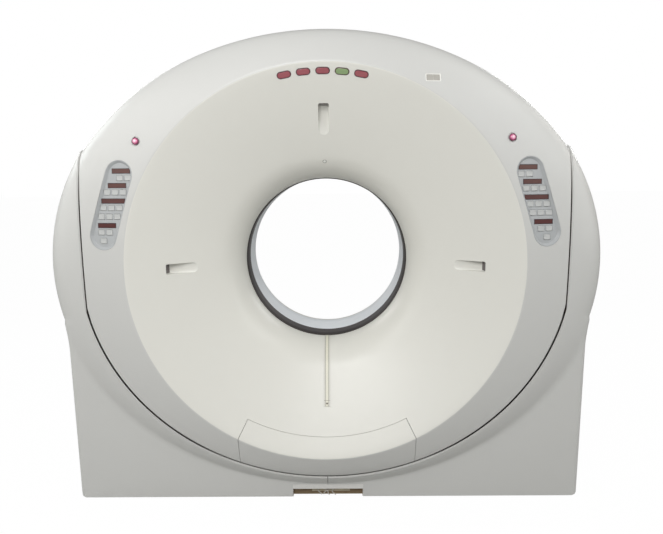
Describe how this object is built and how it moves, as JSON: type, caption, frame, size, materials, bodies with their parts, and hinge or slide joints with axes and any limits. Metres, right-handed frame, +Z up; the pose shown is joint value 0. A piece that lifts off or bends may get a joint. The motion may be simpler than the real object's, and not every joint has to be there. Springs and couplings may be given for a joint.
{
  "type": "ct scanner",
  "caption": "Tilting medical ring scanner: a pebble-shaped drum with a flared round patient opening, hung on trunnions in a U-shaped floor stand.",
  "frame": {"origin": "on the floor, below the middle of the patient opening", "axes": "+X across the patient opening, -Y towards the patient side (front), +Z up"},
  "size_m": [2.2718, 0.96, 1.9504],
  "materials": {
    "drum_cover": "moulded, satin, warm off-white",
    "stand_cover": "moulded, satin, light grey",
    "frame_paint": "powder coated",
    "casting": "painted casting",
    "bright_steel": "ground",
    "motor_paint": "painted",
    "port_frame": "moulded",
    "dark_seal": "matt",
    "window_film": "thin clear window over a pale backing",
    "lamp_red": "tinted lens",
    "lamp_green": "tinted lens",
    "panel_grey": "moulded tray",
    "display_red": "dark red display window",
    "laser_glass": "dark window",
    "strip_cream": "moulded",
    "tube_housing": "painted",
    "copper_ring": "contact tracks",
    "stop_red": "push button",
    "key_white": "moulded key caps"
  },
  "bodies": {
    "stand": {"base_frame": "frame_paint", "stand_cover_left": "stand_cover", "stand_cover_right": "stand_cover", "levelling_feet": "bright_steel", "tilt_bearing_left": "bright_steel", "tilt_bearing_right": "bright_steel", "tilt_gearmotor": "motor_paint", "cable_port": "port_frame"},
    "tilt_pinion": {"tilt_pinion": "bright_steel"},
    "gantry": {"tilt_frame": "casting", "tilt_sector": "bright_steel", "main_bearing_outer": "bright_steel", "drive_stator": "motor_paint", "front_cover": "drum_cover", "service_panel": "drum_cover", "rear_cover": "drum_cover", "bore_rings": "dark_seal", "scan_window": "window_film", "lamp_lenses_red": "lamp_red", "lamp_lens_green": "lamp_green", "control_panel_left": "panel_grey", "control_panel_right": "panel_grey", "display_windows": "display_red", "laser_lenses": "laser_glass", "centre_strip": "strip_cream"},
    "rotor": {"rotor_drum": "casting", "xray_tube": "tube_housing", "detector": "motor_paint", "hv_generator": "frame_paint", "slip_ring": "copper_ring"},
    "key_left_01": {"key_left_01": "key_white"},
    "key_left_02": {"key_left_02": "key_white"},
    "key_left_03": {"key_left_03": "key_white"},
    "key_left_04": {"key_left_04": "key_white"},
    "key_left_05": {"key_left_05": "key_white"},
    "key_left_06": {"key_left_06": "key_white"},
    "key_left_07": {"key_left_07": "key_white"},
    "key_left_08": {"key_left_08": "key_white"},
    "key_left_09": {"key_left_09": "key_white"},
    "key_left_10": {"key_left_10": "key_white"},
    "key_left_11": {"key_left_11": "key_white"},
    "key_left_12": {"key_left_12": "key_white"},
    "key_left_13": {"key_left_13": "key_white"},
    "key_left_14": {"key_left_14": "key_white"},
    "estop_left": {"estop_left": "stop_red"},
    "key_right_01": {"key_right_01": "key_white"},
    "key_right_02": {"key_right_02": "key_white"},
    "key_right_03": {"key_right_03": "key_white"},
    "key_right_04": {"key_right_04": "key_white"},
    "key_right_05": {"key_right_05": "key_white"},
    "key_right_06": {"key_right_06": "key_white"},
    "key_right_07": {"key_right_07": "key_white"},
    "key_right_08": {"key_right_08": "key_white"},
    "key_right_09": {"key_right_09": "key_white"},
    "key_right_10": {"key_right_10": "key_white"},
    "key_right_11": {"key_right_11": "key_white"},
    "key_right_12": {"key_right_12": "key_white"},
    "key_right_13": {"key_right_13": "key_white"},
    "key_right_14": {"key_right_14": "key_white"},
    "estop_right": {"estop_right": "stop_red"}
  },
  "joints": [
    {"name": "gantry_tilt", "type": "hinge", "parent": "stand", "child": "gantry", "pos_m": [0, 0, 1.015], "axis": [1, 0, 0], "range_deg": [-30, 30]},
    {"name": "pinion_spin", "type": "hinge", "parent": "stand", "child": "tilt_pinion", "pos_m": [-1.038, 0, 0.565], "axis": [1, 0, 0], "range_deg": [-241, 241]},
    {"name": "rotor_spin", "type": "hinge", "parent": "gantry", "child": "rotor", "pos_m": [0, 0, 1.015], "axis": [0, 1, 0], "continuous": true},
    {"name": "key_left_01_press", "type": "slide", "parent": "gantry", "child": "key_left_01", "axis": [0.1694, 0.9837, -0.0608], "range_m": [0, 0.0015], "stiffness_N_per_m": 600},
    {"name": "key_left_02_press", "type": "slide", "parent": "gantry", "child": "key_left_02", "axis": [0.1694, 0.9837, -0.0608], "range_m": [0, 0.0015], "stiffness_N_per_m": 600},
    {"name": "key_left_03_press", "type": "slide", "parent": "gantry", "child": "key_left_03", "axis": [0.1694, 0.9837, -0.0608], "range_m": [0, 0.0015], "stiffness_N_per_m": 600},
    {"name": "key_left_04_press", "type": "slide", "parent": "gantry", "child": "key_left_04", "axis": [0.1694, 0.9837, -0.0608], "range_m": [0, 0.0015], "stiffness_N_per_m": 600},
    {"name": "key_left_05_press", "type": "slide", "parent": "gantry", "child": "key_left_05", "axis": [0.1694, 0.9837, -0.0608], "range_m": [0, 0.0015], "stiffness_N_per_m": 600},
    {"name": "key_left_06_press", "type": "slide", "parent": "gantry", "child": "key_left_06", "axis": [0.1694, 0.9837, -0.0608], "range_m": [0, 0.0015], "stiffness_N_per_m": 600},
    {"name": "key_left_07_press", "type": "slide", "parent": "gantry", "child": "key_left_07", "axis": [0.1694, 0.9837, -0.0608], "range_m": [0, 0.0015], "stiffness_N_per_m": 600},
    {"name": "key_left_08_press", "type": "slide", "parent": "gantry", "child": "key_left_08", "axis": [0.1694, 0.9837, -0.0608], "range_m": [0, 0.0015], "stiffness_N_per_m": 600},
    {"name": "key_left_09_press", "type": "slide", "parent": "gantry", "child": "key_left_09", "axis": [0.1694, 0.9837, -0.0608], "range_m": [0, 0.0015], "stiffness_N_per_m": 600},
    {"name": "key_left_10_press", "type": "slide", "parent": "gantry", "child": "key_left_10", "axis": [0.1694, 0.9837, -0.0608], "range_m": [0, 0.0015], "stiffness_N_per_m": 600},
    {"name": "key_left_11_press", "type": "slide", "parent": "gantry", "child": "key_left_11", "axis": [0.1694, 0.9837, -0.0608], "range_m": [0, 0.0015], "stiffness_N_per_m": 600},
    {"name": "key_left_12_press", "type": "slide", "parent": "gantry", "child": "key_left_12", "axis": [0.1694, 0.9837, -0.0608], "range_m": [0, 0.0015], "stiffness_N_per_m": 600},
    {"name": "key_left_13_press", "type": "slide", "parent": "gantry", "child": "key_left_13", "axis": [0.1694, 0.9837, -0.0608], "range_m": [0, 0.0015], "stiffness_N_per_m": 600},
    {"name": "key_left_14_press", "type": "slide", "parent": "gantry", "child": "key_left_14", "axis": [0.1694, 0.9837, -0.0608], "range_m": [0, 0.0015], "stiffness_N_per_m": 600},
    {"name": "estop_left_press", "type": "slide", "parent": "gantry", "child": "estop_left", "axis": [0.1729, 0.9746, -0.1426], "range_m": [0, 0.004], "stiffness_N_per_m": 1500},
    {"name": "key_right_01_press", "type": "slide", "parent": "gantry", "child": "key_right_01", "axis": [-0.1694, 0.9837, -0.0608], "range_m": [0, 0.0015], "stiffness_N_per_m": 600},
    {"name": "key_right_02_press", "type": "slide", "parent": "gantry", "child": "key_right_02", "axis": [-0.1694, 0.9837, -0.0608], "range_m": [0, 0.0015], "stiffness_N_per_m": 600},
    {"name": "key_right_03_press", "type": "slide", "parent": "gantry", "child": "key_right_03", "axis": [-0.1694, 0.9837, -0.0608], "range_m": [0, 0.0015], "stiffness_N_per_m": 600},
    {"name": "key_right_04_press", "type": "slide", "parent": "gantry", "child": "key_right_04", "axis": [-0.1694, 0.9837, -0.0608], "range_m": [0, 0.0015], "stiffness_N_per_m": 600},
    {"name": "key_right_05_press", "type": "slide", "parent": "gantry", "child": "key_right_05", "axis": [-0.1694, 0.9837, -0.0608], "range_m": [0, 0.0015], "stiffness_N_per_m": 600},
    {"name": "key_right_06_press", "type": "slide", "parent": "gantry", "child": "key_right_06", "axis": [-0.1694, 0.9837, -0.0608], "range_m": [0, 0.0015], "stiffness_N_per_m": 600},
    {"name": "key_right_07_press", "type": "slide", "parent": "gantry", "child": "key_right_07", "axis": [-0.1694, 0.9837, -0.0608], "range_m": [0, 0.0015], "stiffness_N_per_m": 600},
    {"name": "key_right_08_press", "type": "slide", "parent": "gantry", "child": "key_right_08", "axis": [-0.1694, 0.9837, -0.0608], "range_m": [0, 0.0015], "stiffness_N_per_m": 600},
    {"name": "key_right_09_press", "type": "slide", "parent": "gantry", "child": "key_right_09", "axis": [-0.1694, 0.9837, -0.0608], "range_m": [0, 0.0015], "stiffness_N_per_m": 600},
    {"name": "key_right_10_press", "type": "slide", "parent": "gantry", "child": "key_right_10", "axis": [-0.1694, 0.9837, -0.0608], "range_m": [0, 0.0015], "stiffness_N_per_m": 600},
    {"name": "key_right_11_press", "type": "slide", "parent": "gantry", "child": "key_right_11", "axis": [-0.1694, 0.9837, -0.0608], "range_m": [0, 0.0015], "stiffness_N_per_m": 600},
    {"name": "key_right_12_press", "type": "slide", "parent": "gantry", "child": "key_right_12", "axis": [-0.1694, 0.9837, -0.0608], "range_m": [0, 0.0015], "stiffness_N_per_m": 600},
    {"name": "key_right_13_press", "type": "slide", "parent": "gantry", "child": "key_right_13", "axis": [-0.1694, 0.9837, -0.0608], "range_m": [0, 0.0015], "stiffness_N_per_m": 600},
    {"name": "key_right_14_press", "type": "slide", "parent": "gantry", "child": "key_right_14", "axis": [-0.1694, 0.9837, -0.0608], "range_m": [0, 0.0015], "stiffness_N_per_m": 600},
    {"name": "estop_right_press", "type": "slide", "parent": "gantry", "child": "estop_right", "axis": [-0.1729, 0.9746, -0.1426], "range_m": [0, 0.004], "stiffness_N_per_m": 1500}
  ],
  "couplings": [
    {"joint": "pinion_spin", "follows": "gantry_tilt", "ratio": -8}
  ]
}
